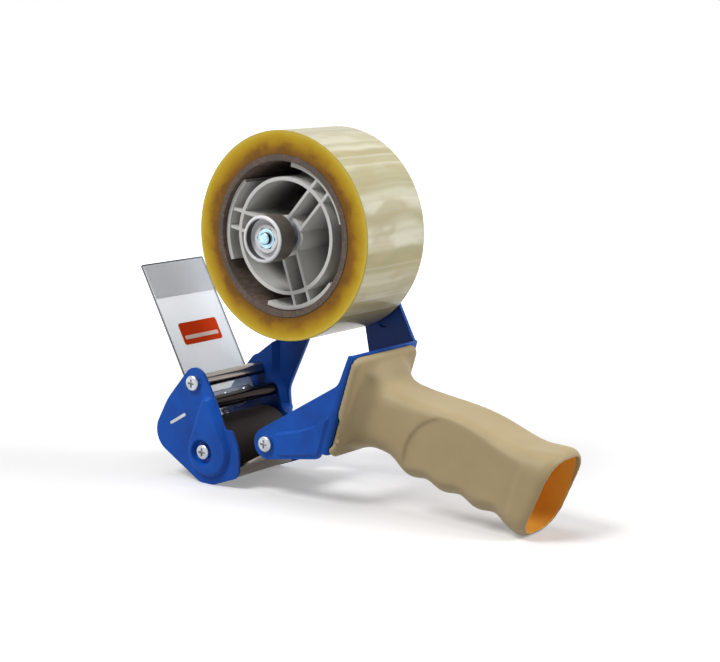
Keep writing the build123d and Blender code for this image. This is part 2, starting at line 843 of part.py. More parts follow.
with BuildPart() as axle_washer:
    washer = ring(across(leg_far + sheet_t), hub_at, axle_washer_d / 2, thread_d / 2 + thread_gap)
    extrude(washer, amount=-axle_washer_t)
save(axle_washer, "axle_washer")

with BuildPart() as axle_nut:
    with Locations(seat(hub_at, leg_far + sheet_t + axle_washer_t, 1).location):
        add(hex_nut(nut_af, nut_h, thread_d))
save(axle_nut, "axle_nut")

with BuildPart() as thrust_washer:
    washer = ring(across(shoulder_near), hub_at, thrust_washer_d / 2, thread_d / 2 + thread_gap)
    extrude(washer, amount=thrust_washer_t)
save(thrust_washer, "thrust_washer")

# Brake spring, pressed between the thrust washer and the knob
spring_far = shoulder_near - thrust_washer_t - spring_wire / 2
spring_near = knob_far + side_gap + spring_wire / 2
with BuildPart() as brake_spring:
    with Locations(seat(hub_at, spring_far, -1).location):
        add(coil_spring(spring_wire, spring_d / 2, spring_far - spring_near, spring_turns))
save(brake_spring, "brake_spring")

with BuildPart() as tension_knob:
    extrude(disc(across(knob_far), hub_at, knob_d / 2), amount=knob_length)
    fillet(tension_knob.edges().group_by(Axis.Y)[0], knob_lip_r)
    chamfer(tension_knob.edges().group_by(Axis.Y)[-1], knob_bevel)
    cup = disc(across(knob_near), hub_at, knob_d / 2 - knob_rim)
    extrude(cup, amount=-knob_cup_depth, mode=Mode.SUBTRACT)
    # The nut sits in a boss at the bottom of the cup
    extrude(disc(across(knob_floor), hub_at, nut_af / 2 + knob_nut_wall), amount=knob_nut_rise)
    with BuildSketch(seat(hub_at, knob_floor - knob_nut_rise, 1)):
        RegularPolygon(nut_af / 2, 6, major_radius=False)
    extrude(amount=nut_h, mode=Mode.SUBTRACT)
    bore = disc(across(knob_far), hub_at, thread_d / 2 + running_gap)
    extrude(bore, amount=knob_length, mode=Mode.SUBTRACT)
save(tension_knob, "tension_knob")

with BuildPart() as knob_nut:
    with Locations(seat(hub_at, knob_floor - knob_nut_rise + nut_h, -1).location):
        add(hex_nut(nut_af, nut_h, thread_d))
save(knob_nut, "knob_nut")

core_r = core_bore_d / 2 + core_wall
with BuildPart() as tape_core:
    tube = ring(across(tape_width / 2 + core_overhang), hub_at, core_r, core_bore_d / 2)
    extrude(tube, amount=tape_width + 2 * core_overhang)
save(tape_core, "tape_core")

with BuildPart() as tape_winding:
    extrude(ring(across(tape_width / 2), hub_at, tape_outer_d / 2, core_r), amount=tape_width)
    rims = tape_winding.edges().filter_by(GeomType.CIRCLE).group_by(SortBy.RADIUS)[-1]
    chamfer(rims, winding_bevel)
save(tape_winding, "tape_winding")

# Handle: sections from the flange to the open end, between a top line and an under line with finger waves
with BuildLine() as top_line:
    Spline(*handle_top)
with BuildLine() as under_line:
    Spline(*handle_under)


def grip_section(t, inset):
    """Rounded section of the grip at a fraction of its length, drawn inwards by a wall."""
    upper = top_line.line @ t
    lower = under_line.line @ t
    rise = 0
    if first_bump - finger_pitch < lower.X < first_bump + bump_count * finger_pitch:
        rise = finger_depth * (1 - cos(2 * pi * (lower.X - first_bump) / finger_pitch)) / 2
    height = hypot(upper.X - lower.X, upper.Y - lower.Y) - rise
    tilt = degrees(atan2(upper.X - lower.X, upper.Y - lower.Y))
    centre = step((upper.X, upper.Y), 270 - tilt, height / 2)
    flare = max(0, 1 - t / neck_end)
    half = grip_half + neck_flare * flare**2 + end_flare * t**2 - inset
    low_r = grip_round * (half + inset) - inset
    top_r = low_r - (low_r - palm_round + inset) * (1 - (2 * t - 1) ** 2)
    up = height / 2 - inset
    corners = [(-half, -up), (half, -up), (half, up), (-half, up)]
    return outline(slanted(centre, -tilt), corners, [low_r, low_r, top_r, top_r])


stations = [lip_start * station / section_count for station in range(section_count + 1)]
with BuildPart() as grip_bore:
    for t in stations[bore_start:] + [1]:
        add(grip_section(t, handle_wall))
    loft()

# The open end is rounded over a lip
with BuildPart() as handle:
    for t in stations:
        add(grip_section(t, 0))
    add(grip_section((lip_start + 1) / 2, lip_round / 3))
    add(grip_section(1, lip_round))
    loft()
    with BuildSketch(back_plane):
        with Locations(((flange_far - flange_near) / 2, flange_height / 2)):
            RectangleRounded(flange_near + flange_far, flange_height, flange_corner)
    extrude(amount=flange_t)
    # Notch in the near edge, beside the bulge of the arm
    notch = outline(across(-flange_near), flange_notch, notch_radii)
    extrude(notch, amount=-notch_depth, mode=Mode.SUBTRACT)
    # Flat side panels below the palm crease
    for outwards in (-1, 1):
        panel_plane = Plane(
            origin=(hub_x, mid_y + outwards * palm_panel_half, 0),
            x_dir=(1, outwards * palm_panel_fade, 0),
            z_dir=(outwards * palm_panel_fade, -1, 0),
        )
        with BuildSketch(panel_plane):
            with BuildLine():
                crease = Spline(*palm_crease)
                Polyline(crease @ 1, *palm_panel_low, crease @ 0)
            make_face()
        extrude(amount=-outwards * palm_panel_depth, mode=Mode.SUBTRACT)
    add(grip_bore.part, mode=Mode.SUBTRACT)
    with BuildSketch(back_plane):
        with Locations(*handle_screw_places):
            Circle(screw_d / 2)
    extrude(amount=flange_t, mode=Mode.SUBTRACT)
save(handle, "handle")

handle_screw = pan_screw(screw_d, screw_head_d, screw_head_h, handle_screw_reach)
with BuildPart() as handle_screws:
    for x, row in handle_screw_places:
        with Locations(handle_screw_plane.location * Location((x, row, 0), (0, 180, 0))):
            add(handle_screw)
save(handle_screws, "handle_screws")
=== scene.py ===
"""Looks of a hand-held packing tape dispenser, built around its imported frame.

Everything is in metres, with +X towards the handle, +Y towards the side that carries the hub
and +Z up. The table is at zero.
"""

import json
import logging
from collections.abc import Iterable, Mapping
from dataclasses import dataclass, field
from enum import Enum
from math import cos, radians, sin
from typing import Any

import bmesh
import bpy
from mathutils import Matrix, Vector

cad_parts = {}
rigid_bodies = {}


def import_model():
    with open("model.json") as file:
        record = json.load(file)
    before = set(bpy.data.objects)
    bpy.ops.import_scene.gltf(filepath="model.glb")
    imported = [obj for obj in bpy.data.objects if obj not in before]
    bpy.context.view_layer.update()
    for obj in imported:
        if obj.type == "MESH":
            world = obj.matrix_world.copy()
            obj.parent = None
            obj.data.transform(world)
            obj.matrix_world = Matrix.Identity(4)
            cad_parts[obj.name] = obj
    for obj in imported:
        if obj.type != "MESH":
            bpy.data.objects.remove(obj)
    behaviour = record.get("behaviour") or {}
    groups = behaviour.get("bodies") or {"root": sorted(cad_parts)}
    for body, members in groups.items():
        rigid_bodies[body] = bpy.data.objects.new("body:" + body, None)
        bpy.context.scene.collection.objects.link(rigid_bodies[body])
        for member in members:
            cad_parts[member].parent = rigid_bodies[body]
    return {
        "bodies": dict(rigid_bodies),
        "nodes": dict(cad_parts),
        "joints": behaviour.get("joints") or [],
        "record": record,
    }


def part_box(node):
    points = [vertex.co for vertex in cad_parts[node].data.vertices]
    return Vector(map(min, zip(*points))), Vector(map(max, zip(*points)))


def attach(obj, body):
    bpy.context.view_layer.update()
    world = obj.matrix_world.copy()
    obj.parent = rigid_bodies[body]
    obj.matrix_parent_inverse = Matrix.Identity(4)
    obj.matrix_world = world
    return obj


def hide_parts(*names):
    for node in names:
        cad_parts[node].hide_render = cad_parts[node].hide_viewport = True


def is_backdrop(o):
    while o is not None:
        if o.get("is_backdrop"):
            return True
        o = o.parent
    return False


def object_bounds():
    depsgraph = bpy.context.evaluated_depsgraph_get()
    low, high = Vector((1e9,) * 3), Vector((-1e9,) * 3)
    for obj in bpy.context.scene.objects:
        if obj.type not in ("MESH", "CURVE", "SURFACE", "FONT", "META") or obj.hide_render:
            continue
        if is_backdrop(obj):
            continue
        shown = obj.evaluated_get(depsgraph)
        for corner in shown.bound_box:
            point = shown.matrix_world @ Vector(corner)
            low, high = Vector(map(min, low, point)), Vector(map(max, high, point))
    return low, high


LOG = logging.getLogger("tape_dispenser")

# Slope and length of the clear flap, and how far its front face lies above the foot of its box
FLAP_SLOPE = radians(118.7)
FLAP_LENGTH = 0.082
FLAP_SKIN = 0.00043

Colour = tuple[float, float, float]
Point = tuple[float, float, float]
Span = tuple[float, float]


def srgb(red: int, green: int, blue: int) -> Colour:
    """Turn a colour as it is seen on a screen into the linear one that shaders take.

    Args:
        red: Red, from 0 to 255.
        green: Green, from 0 to 255.
        blue: Blue, from 0 to 255.

    Returns:
        The linear colour.
    """
    levels = [level / 255 for level in (red, green, blue)]
    return tuple(c / 12.92 if c <= 0.04045 else ((c + 0.055) / 1.055) ** 2.4 for c in levels)


class Value:
    """A socket that carries a number, whose arithmetic adds Math nodes."""

    def __init__(self, graph: "Graph", socket: bpy.types.NodeSocket) -> None:
        """Keep the socket and the graph that it belongs to."""
        self.graph = graph
        self.socket = socket

    def maths(self, operation: str, *others: Any, first: Any = None) -> "Value":
        """Add a Math node.

        Args:
            operation: The Math node's operation.
            others: What follows in the node's inputs.
            first: What stands before this value, for reflected operations.

        Returns:
            The node's result.
        """
        values = [self, *others] if first is None else [first, self, *others]
        return self.graph.add("ShaderNodeMath", {"operation": operation}, dict(enumerate(values)))

    def __add__(self, other: Any) -> "Value":
        """Sum."""
        return self.maths("ADD", other)

    def __radd__(self, other: Any) -> "Value":
        """Reflected sum."""
        return self.maths("ADD", first=other)

    def __sub__(self, other: Any) -> "Value":
        """Difference."""
        return self.maths("SUBTRACT", other)

    def __rsub__(self, other: Any) -> "Value":
        """Reflected difference."""
        return self.maths("SUBTRACT", first=other)

    def __mul__(self, other: Any) -> "Value":
        """Product."""
        return self.maths("MULTIPLY", other)

    def __rmul__(self, other: Any) -> "Value":
        """Reflected product."""
        return self.maths("MULTIPLY", first=other)

    def __truediv__(self, other: Any) -> "Value":
        """Quotient."""
        return self.maths("DIVIDE", other)

    def __pow__(self, other: Any) -> "Value":
        """Power."""
        return self.maths("POWER", other)

    def __abs__(self) -> "Value":
        """Size without sign."""
        return self.maths("ABSOLUTE")

    def ramp(self, low: float, high: float) -> "Value":
        """Rise smoothly from 0 at one level to 1 at another, which may be the lower one.

        Args:
            low: Level that gives 0.
            high: Level that gives 1.

        Returns:
            The smoothed step.
        """
        settings = {"interpolation_type": "SMOOTHSTEP"}
        inputs = {"Value": self, "From Min": min(low, high), "From Max": max(low, high)}
        step = self.graph.add("ShaderNodeMapRange", settings, inputs)
        return step if low < high else 1 - step


class Graph:
    """The nodes of one material."""

    def __init__(self, name: str, tree: bpy.types.NodeTree | None = None) -> None:
        """Start an empty material, or empty the nodes of the surroundings.

        Args:
            name: The material's name.
            tree: The nodes of the surroundings, where they are what is made.
        """
        if tree is None:
            self.material = bpy.data.materials.new(name)
            self.material.use_nodes = True
            tree = self.material.node_tree
        self.tree = tree
        self.tree.nodes.clear()

    def add(
        self,
        kind: str,
        settings: Mapping[str, Any] | None = None,
        inputs: Mapping[str | int, Any] | None = None,
        output: str | int = 0,
    ) -> Value:
        """Add a node.

        Args:
            kind: The node's type.
            settings: Its settings, with a ramp's stops under "stops".
            inputs: Values or links of its sockets.
            output: The socket to hand back.

        Returns:
            The chosen output.
        """
        node = self.tree.nodes.new(kind)
        for name, setting in (settings or {}).items():
            if name == "stops":
                self.set_stops(node.color_ramp, setting)
            else:
                setattr(node, name, setting)
        for name, given in (inputs or {}).items():
            if isinstance(given, Value):
                self.tree.links.new(given.socket, node.inputs[name])
            else:
                node.inputs[name].default_value = given
        return Value(self, node.outputs[output])

    @staticmethod
    def set_stops(ramp: bpy.types.ColorRamp, stops: Iterable[tuple[float, Colour]]) -> None:
        """Give a colour ramp its stops.

        Args:
            ramp: The ramp.
            stops: Places and colours, in order.
        """
        for index, (place, colour) in enumerate(stops):
            has_stop = index < len(ramp.elements)
            stop = ramp.elements[index] if has_stop else ramp.elements.new(place)
            stop.position = place
            stop.color = (*colour, 1)

    def place(self, scale: Point = (1, 1, 1), at: Iterable[float] = (0, 0, 0)) -> Value:
        """Point on the piece, in metres of the row frame.

        Args:
            scale: Stretch of the pattern along each axis.
            at: Point that becomes the middle.

        Returns:
            The point as a vector.
        """
        here = self.add("ShaderNodeTexCoord", output="Object")
        moved = self.add("ShaderNodeVectorMath", {"operation": "SUBTRACT"}, {0: here, 1: tuple(at)})
        return self.add("ShaderNodeVectorMath", {"operation": "MULTIPLY"}, {0: moved, 1: scale})

    def axes(self, vector: Value) -> tuple[Value, Value, Value]:
        """Split a vector into its three numbers."""
        first = self.add("ShaderNodeSeparateXYZ", inputs={0: vector})
        node = first.socket.node
        return first, Value(self, node.outputs[1]), Value(self, node.outputs[2])

    def noise(self, vector: Value, scale: float, detail: float = 3, rough: float = 0.5) -> Value:
        """Smooth noise from 0 to 1.

        Args:
            vector: Where the noise is read.
            scale: How many features there are in a metre.
            detail: Number of finer layers.
            rough: Strength of the finer layers.

        Returns:
            The noise.
        """
        inputs = {"Vector": vector, "Scale": scale, "Detail": detail, "Roughness": rough}
        return self.add("ShaderNodeTexNoise", {}, inputs)

    def line_noise(self, along: Value, detail: float) -> Value:
        """Smooth noise along one number, from 0 to 1.

        Args:
            along: The number, with one feature to each whole step.
            detail: Number of finer layers.

        Returns:
            The noise.
        """
        inputs = {"W": along, "Scale": 1.0, "Detail": detail}
        return self.add("ShaderNodeTexNoise", {"noise_dimensions": "1D"}, inputs)

    def mix(self, factor: Value | float, first: Any, second: Any) -> Value:
        """Blend two colours.

        Args:
            factor: 0 for the first colour and 1 for the second.
            first: A colour or a link.
            second: A colour or a link.

        Returns:
            The blended colour.
        """
        node = self.tree.nodes.new("ShaderNodeMix")
        node.data_type = "RGBA"
        for index, given in ((0, factor), (6, first), (7, second)):
            if isinstance(given, Value):
                self.tree.links.new(given.socket, node.inputs[index])
            else:
                node.inputs[index].default_value = given if index == 0 else (*given, 1)
        return Value(self, node.outputs[2])

    def bump(self, height: Value, depth: float) -> Value:
        """Turn a height from 0 to 1 into a surface direction.

        Args:
            height: The height.
            depth: Its full depth in metres.

        Returns:
            The direction for a Normal socket.
        """
        return self.add("ShaderNodeBump", {}, {"Height": height, "Distance": depth, "Strength": 1.0})

    def finish(self, inputs: Mapping[str, Any]) -> bpy.types.Material:
        """Close the material with one surface shader.

        Args:
            inputs: Values or links of the shader's sockets.

        Returns:
            The material.
        """
        self.close(self.add("ShaderNodeBsdfPrincipled", {}, inputs))
        return self.material

    def close(self, surface: Value, kind: str = "ShaderNodeOutputMaterial") -> None:
        """Link a shader to the output.

        Args:
            surface: The shader's result.
            kind: The output's type.
        """
        output = self.tree.nodes.new(kind)
        self.tree.links.new(surface.socket, output.inputs["Surface"])


def seen_rays(graph: Graph) -> Value:
    """Tell the rays that show the background, straight, mirrored or through clear sheet.

    Args:
        graph: The nodes to add to.

    Returns:
        1 for such a ray and 0 for the rays that light the object.
    """
    straight = graph.add("ShaderNodeLightPath", output="Is Camera Ray")
    mirrored = graph.add("ShaderNodeLightPath", output="Is Glossy Ray")
    through = graph.add("ShaderNodeLightPath", output="Is Transmission Ray")
    return straight.maths("MAXIMUM", mirrored).maths("MAXIMUM", through)


@dataclass(frozen=True)
class CoatedSteel:
    """Powder coat on pressed steel sheet, with painted shade inside the far half.

    The coat is bright outside. From half_way on, over the width of fade, the faces that look
    towards the near side take the inner colour, a painted shade.
    """

    name: str
    colour: Colour
    deep: Colour
    worn: Colour
    # inner is painted shade for the near-facing faces of the far half
    inner: Colour
    half_way: float
    fade: float = 0.004
    painted_shade_share: float = 0.65
    worn_share: float = 0.35
    roughness: float = 0.40

    def material(self) -> bpy.types.Material:
        """Make the material, with faint orange peel, cloudiness, rubbed spots and painted shade."""
        graph = Graph(self.name)
        here = graph.place()
        cloud = graph.noise(here, 60, 4)
        peel = graph.noise(here, 900, 2)
        rubbed = graph.noise(here, 260, 5, 0.65).ramp(0.66, 0.74)
        outer = graph.mix(cloud.ramp(0.25, 0.75), self.deep, self.colour)
        _, y, _ = graph.axes(here)
        facing = graph.add("ShaderNodeAttribute", {"attribute_name": "near_facing"}, output="Fac")
        # Painted shade: faces of the far half that look towards the near side darken to inner
        inner = y.ramp(self.half_way, self.half_way + self.fade) * facing.ramp(0.3, 0.7)
        coat = graph.mix(inner * self.painted_shade_share, outer, self.inner)
        return graph.finish(
            {
                "Base Color": graph.mix(rubbed * self.worn_share, coat, self.worn),
                "Roughness": self.roughness + 0.12 * cloud,
                "Specular IOR Level": 0.22,
                "Coat Weight": 0.06,
                "Coat Roughness": 0.15,
                "Normal": graph.bump(peel, 0.00003),
            }
        )


class Grain(Enum):
    """Ways in which a metal surface was worked."""

    POLISHED = (1.0, 1.0, 1.0)
    DRAWN_ACROSS = (1.0, 0.04, 1.0)


@dataclass(frozen=True)
class BareMetal:
    """Plated, polished or ground metal."""

    name: str
    colour: Colour
    shade: Colour
    roughness: float
    grain: Grain = Grain.POLISHED
    depth: float = 0.000004

    def material(self) -> bpy.types.Material:
        """Make the material, with fine working marks, cloudy plating, and painted reflections on the
        bright bar.
        """
        graph = Graph(self.name)
        marks = graph.noise(graph.place(self.grain.value), 2600, 3)
        cloud = graph.noise(graph.place(self.grain.value), 170, 3)
        body = graph.mix(cloud.ramp(0.3, 0.7), self.shade, self.colour)
        return graph.finish(
            {
                "Base Color": self.tint(graph, body),
                "Metallic": 1.0,
                "Roughness": self.roughness + 0.10 * marks,
                "Normal": graph.bump(marks, self.depth),
            }
        )

    def tint(self, graph: Graph, body: Value) -> Value:
        """Hand back the plain colour, which a finish of its own kind may change."""
        return body


@dataclass(frozen=True)
class SideShadedMetal(BareMetal):
    """Plated metal that is bright on its front face, with painted shade on its sides behind it."""

    # Painted shade for the sides behind the front face
    side_shade: Colour = field(default_factory=lambda: srgb(26, 24, 24))
    front: float = 0.0
    rim: Span = (0.00048, 0.0008)
    unshaded_again: Span = (0.016, 0.012)

    def tint(self, graph: Graph, body: Value) -> Value:
        """Paint shade on everything behind the rim of the front face.

        Args:
            graph: The nodes to add to.
            body: The plain colour.

        Returns:
            The colour with its painted shade.
        """
        _, y, _ = graph.axes(graph.place(at=(0, self.front, 0)))
        # Painted shade: from just behind the front face back to unshaded_again
        near_front = y.ramp(*self.rim) * y.ramp(*self.unshaded_again)
        return graph.mix(near_front, body, self.side_shade)


@dataclass(frozen=True)
class MouldedPlastic:
    """Injection-moulded plastic with a fine spark-eroded grain."""

    name: str
    colour: Colour
    shade: Colour
    roughness: float = 0.5
    grain: float = 0.00002
    specular: float = 0.4
    alpha: float = 1.0

    def material(self) -> bpy.types.Material:
        """Make the material, with flow clouding and a fine grain."""
        graph = Graph(self.name)
        here = graph.place()
        cloud = graph.noise(here, 35, 4)
        grain = graph.noise(here, 2200, 2)
        body = graph.mix(cloud.ramp(0.2, 0.8), self.shade, self.colour)
        return graph.finish(
            {
                "Base Color": self.tint(graph, body),
                "Roughness": self.roughness + 0.10 * cloud,
                "Specular IOR Level": self.specular,
                "Alpha": self.alpha,
                "Normal": graph.bump(grain, self.grain),
            }
        )

    def tint(self, graph: Graph, body: Value) -> Value:
        """Hand back the plain colour, which a finish of its own kind may change."""
        return body


@dataclass(frozen=True)
class HubPlastic(MouldedPlastic):
    """Grey moulding with brown painted shade deep inside it, towards its flange."""

    # Brown painted shade deep inside the hub
    dust_and_shade: Colour = field(default_factory=lambda: srgb(72, 66, 58))
    middle: Point = (0.0, 0.0, 0.0)
    front: float = 0.0
    back: float = 0.0
    unshaded_depth: float = 0.004
    shaded_from_back: float = 0.010
    wander: float = 0.012
    unshaded_back: Span = (0.0006, 0.0010)
    bore: Span = (0.0365, 0.0335)

    def tint(self, graph: Graph, body: Value) -> Value:
        """Mix in the painted shade with depth.

        Args:
            graph: The nodes to add to.
            body: The plain colour.

        Returns:
            The dusty colour.
        """
        _, y, _ = graph.axes(graph.place())
        cloud = graph.noise(graph.place(), 70, 3)
        x, _, z = graph.axes(graph.place(at=self.middle))
        ragged = y + self.wander * (cloud - 0.5)
        # Painted shade: darker with depth inside the ring, up to the flange's face, with a ragged front
        deep = ragged.ramp(self.front + self.unshaded_depth, self.back - self.shaded_from_back)
        before_back = y.ramp(*(self.back - inset for inset in self.unshaded_back))
        within = ((x * x + z * z) ** 0.5).ramp(*self.bore)
        return graph.mix(deep * before_back * within, body, self.dust_and_shade)


@dataclass(frozen=True)
class KnobPlastic(MouldedPlastic):
    """White knob with painted shade on its side and on the wall inside its cup.

    The spans are distances behind the front, for the rim and the cup's floor, and distances
    from the axle, for the side and the wall.
    """

    # Painted shade for the knob's side and for the wall of its cup
    side: Colour = field(default_factory=lambda: srgb(96, 89, 82))
    wall: Colour = field(default_factory=lambda: srgb(66, 62, 60))
    middle: Point = (0.0, 0.0, 0.0)
    front: float = 0.0
    rim: Span = (0.0004, 0.0013)
    side_radius: Span = (0.0106, 0.0111)
    wall_radius: Span = (0.0094, 0.0102)
    cup_floor: Span = (0.0050, 0.0040)

    def tint(self, graph: Graph, body: Value) -> Value:
        """Paint shade on the side behind the rim and on the wall of the cup.

        Args:
            graph: The nodes to add to.
            body: The plain colour.

        Returns:
            The colour of the whole knob.
        """
        x, _, z = graph.axes(graph.place(at=self.middle))
        _, y, _ = graph.axes(graph.place(at=(0, self.front, 0)))
        radius = (x * x + z * z) ** 0.5
        behind = y.ramp(*self.rim)
        # Painted shade: the side behind the rim and the cup's wall take the dark colours
        outside = radius.ramp(*self.side_radius) * behind
        inside = radius.ramp(*self.wall_radius) * behind * y.ramp(*self.cup_floor) * (1 - outside)
        return graph.mix(outside, graph.mix(inside, body, self.wall), self.side)


@dataclass(frozen=True)
class GripPlastic(MouldedPlastic):
    """Beige moulding, orange in its bore, with painted shade at the root of its neck."""

    inside: Colour = field(default_factory=lambda: srgb(252, 184, 72))
    # Painted shade at the root of the neck
    root: Colour = field(default_factory=lambda: srgb(140, 125, 88))
    root_shade_share: float = 0.8

    def tint(self, graph: Graph, body: Value) -> Value:
        """Mix in the bore's orange and the painted shade at the root of the neck.

        Args:
            graph: The nodes to add to.
            body: The plain colour.

        Returns:
            The colour of the whole handle.
        """
        bore = graph.add("ShaderNodeAttribute", {"attribute_name": "bore"}, output="Fac")
        neck = graph.add("ShaderNodeAttribute", {"attribute_name": "neck"}, output="Fac")
        # Painted shade: the root of the neck, where it meets the flange, darkens towards root
        beige = graph.mix(neck.ramp(0.1, 1.0) * self.root_shade_share, body, self.root)
        return graph.mix(bore.ramp(0.6, 0.9), beige, self.inside)


@dataclass(frozen=True)
class RollerRubber:
    """Ground rubber on the roller, scuffed where tape runs."""

    name: str = "roller_rubber"
    colour: Colour = field(default_factory=lambda: srgb(34, 27, 25))
    dust_and_shade: Colour = field(default_factory=lambda: srgb(43, 35, 32))

    def material(self) -> bpy.types.Material:
        """Make the material, with bands round the roller."""
        graph = Graph(self.name)
        bands = graph.noise(graph.place((0.5, 1.0, 0.5)), 90, 4)
        pores = graph.noise(graph.place(), 1500, 3)
        return graph.finish(
            {
                "Base Color": graph.mix(bands.ramp(0.3, 0.85), self.colour, self.dust_and_shade),
                "Roughness": 0.62 + 0.2 * pores,
                "Specular IOR Level": 0.35,
                "Normal": graph.bump(pores, 0.00004),
            }
        )


@dataclass(frozen=True)
class WoundFilm:
    """Clear packing film wound on the core: amber through its sides, pale across its width.

    The rings are colours from the core outwards, as shares of the winding's thickness. The spans
    are heights over the axle, for the painted shade at the top and the bottom, and distances from
    the middle plane, for the edge between outside and side.
    """

    name: str
    middle: Point
    inner: float
    outer: float
    half_width: float
    rings: tuple[tuple[float, Colour], ...] = (
        (0.0, srgb(124, 84, 22)),
        (0.2, srgb(146, 100, 22)),
        (0.45, srgb(182, 140, 28)),
        (0.78, srgb(210, 174, 42)),
        (0.93, srgb(220, 194, 76)),
        (1.0, srgb(190, 170, 84)),
    )
    layers_in_metre: float = 1900
    blotch_share: float = 0.34
    dull: Colour = field(default_factory=lambda: srgb(182, 174, 126))
    bright: Colour = field(default_factory=lambda: srgb(238, 234, 208))
    crease: Colour = field(default_factory=lambda: srgb(196, 182, 136))
    streak: Colour = field(default_factory=lambda: srgb(236, 232, 212))
    # Painted shade for the top and the bottom of the outside
    top_shade: Colour = field(default_factory=lambda: srgb(150, 142, 98))
    low_shade: Colour = field(default_factory=lambda: srgb(132, 116, 72))
    top: Span = (0.040, 0.064)
    low: Span = (-0.012, -0.062)
    edge: Span = (0.0006, 0.0001)

    def material(self) -> bpy.types.Material:
        """Make the material, with rings on both sides, bands across the outside and painted shade."""
        graph = Graph(self.name)
        x, y, z = graph.axes(graph.place(at=self.middle))
        radius = (x * x + z * z) ** 0.5
        layers = graph.line_noise(radius * self.layers_in_metre, 4)
        turn = z.maths("ARCTAN2", x)
        wander = graph.noise(graph.place((0.5, 1.0, 0.5), self.middle), 26, 2)
        streaks = graph.line_noise(turn * 17 + wander * 0.8, 2)
        # Painted shade: the outside darkens towards its top and its bottom
        high = z.ramp(*self.top) * 0.85
        on_side = abs(y).ramp(*(self.half_width - inset for inset in self.edge))
        outside = self.outside(graph, turn, y, wander)
        shaded_outside = graph.mix(z.ramp(*self.low), graph.mix(high, outside, self.top_shade), self.low_shade)
        streaked = graph.mix(streaks.ramp(0.55, 0.75) * 0.35, shaded_outside, self.streak)
        return graph.finish(
            {
                "Base Color": graph.mix(on_side, streaked, self.side(graph, radius, layers)),
                "Roughness": 0.22 + 0.2 * on_side + 0.08 * layers,
                "Coat Weight": 0.35 * (1 - on_side) * (1 - high),
                "Coat Roughness": 0.08,
                "Specular IOR Level": 0.2,
                "Normal": graph.bump(layers * on_side + streaks * (1 - on_side), 0.0001),
            }
        )

    def side(self, graph: Graph, radius: Value, layers: Value) -> Value:
        """Colour the sides in rings, with dark blotches near the core.

        Args:
            graph: The nodes to add to.
            radius: Distance from the axle.
            layers: Noise from layer to layer.

        Returns:
            The colour.
        """
        outwards = (radius - self.inner) / (self.outer - self.inner)
        blotches = graph.noise(graph.place(), 95, 3).ramp(0.42, 0.66)
        darker = self.blotch_share * blotches * (1 - outwards)
        along = outwards + 0.05 * (layers - 0.5) - darker
        return graph.add("ShaderNodeValToRGB", {"stops": self.rings}, {0: along})

    def outside(self, graph: Graph, turn: Value, y: Value, wander: Value) -> Value:
        """Colour the outside in bands across the width, with a few creased patches.

        Args:
            graph: The nodes to add to.
            turn: Angle round the axle.
            y: Distance from the middle plane.
            wander: Noise that bends the bands.

        Returns:
            The colour.
        """
        bands = graph.line_noise(turn * 3.6 + wander * 0.45, 2)
        sheet = graph.add("ShaderNodeCombineXYZ", {}, {0: turn * 4.2 + wander * 0.5, 1: y * 34})
        patches = graph.noise(sheet, 1.0, 2)
        cream = graph.mix(bands.ramp(0.34, 0.66), self.dull, self.bright)
        return graph.mix(patches.ramp(0.44, 0.62) * 0.6, cream, self.crease)


@dataclass(frozen=True)
class WoundCard:
    """Brown card of the tape core, with its fibres along the roll."""

    name: str = "core_card"
    shade: Colour = field(default_factory=lambda: srgb(86, 74, 66))
    fibre: Colour = field(default_factory=lambda: srgb(118, 100, 88))
    dust_and_shade: Colour = field(default_factory=lambda: srgb(92, 82, 76))

    def material(self) -> bpy.types.Material:
        """Make the material, with fibres and dusty patches."""
        graph = Graph(self.name)
        fibres = graph.noise(graph.place((1.0, 0.25, 1.0)), 700, 4)
        cloud = graph.noise(graph.place(), 90, 3)
        card = graph.mix(fibres.ramp(0.3, 0.7), self.shade, self.fibre)
        return graph.finish(
            {
                "Base Color": graph.mix(cloud.ramp(0.4, 0.75), card, self.dust_and_shade),
                "Roughness": 0.75 + 0.15 * fibres,
                "Normal": graph.bump(fibres, 0.00005),
            }
        )


@dataclass(frozen=True)
class ClearSheet:
    """Clear flexible sheet of the flap, with darker cut edges."""

    name: str
    foot: Point
    half_width: float
    colour: Colour = field(default_factory=lambda: srgb(182, 198, 215))
    cut: Colour = field(default_factory=lambda: srgb(84, 84, 96))
    edge: Span = (0.0006, 0.0002)

    def material(self) -> bpy.types.Material:
        """Make the material, with its haze and edges."""
        graph = Graph(self.name)
        x, y, z = graph.axes(graph.place(at=self.foot))
        up = x * cos(FLAP_SLOPE) + z * sin(FLAP_SLOPE)
        haze = graph.noise(graph.place(), 45, 3)
        side = abs(y).ramp(*(self.half_width - inset for inset in self.edge))
        end = up.ramp(*(FLAP_LENGTH - inset for inset in self.edge))
        edge = side.maths("MAXIMUM", end)
        return graph.finish(
            {
                "Base Color": graph.mix(edge, self.colour, self.cut),
                "Roughness": 0.42 + 0.1 * haze,
                "Specular IOR Level": 0.2,
                "Alpha": 0.36 + 0.06 * haze + 0.5 * edge,
            }
        )


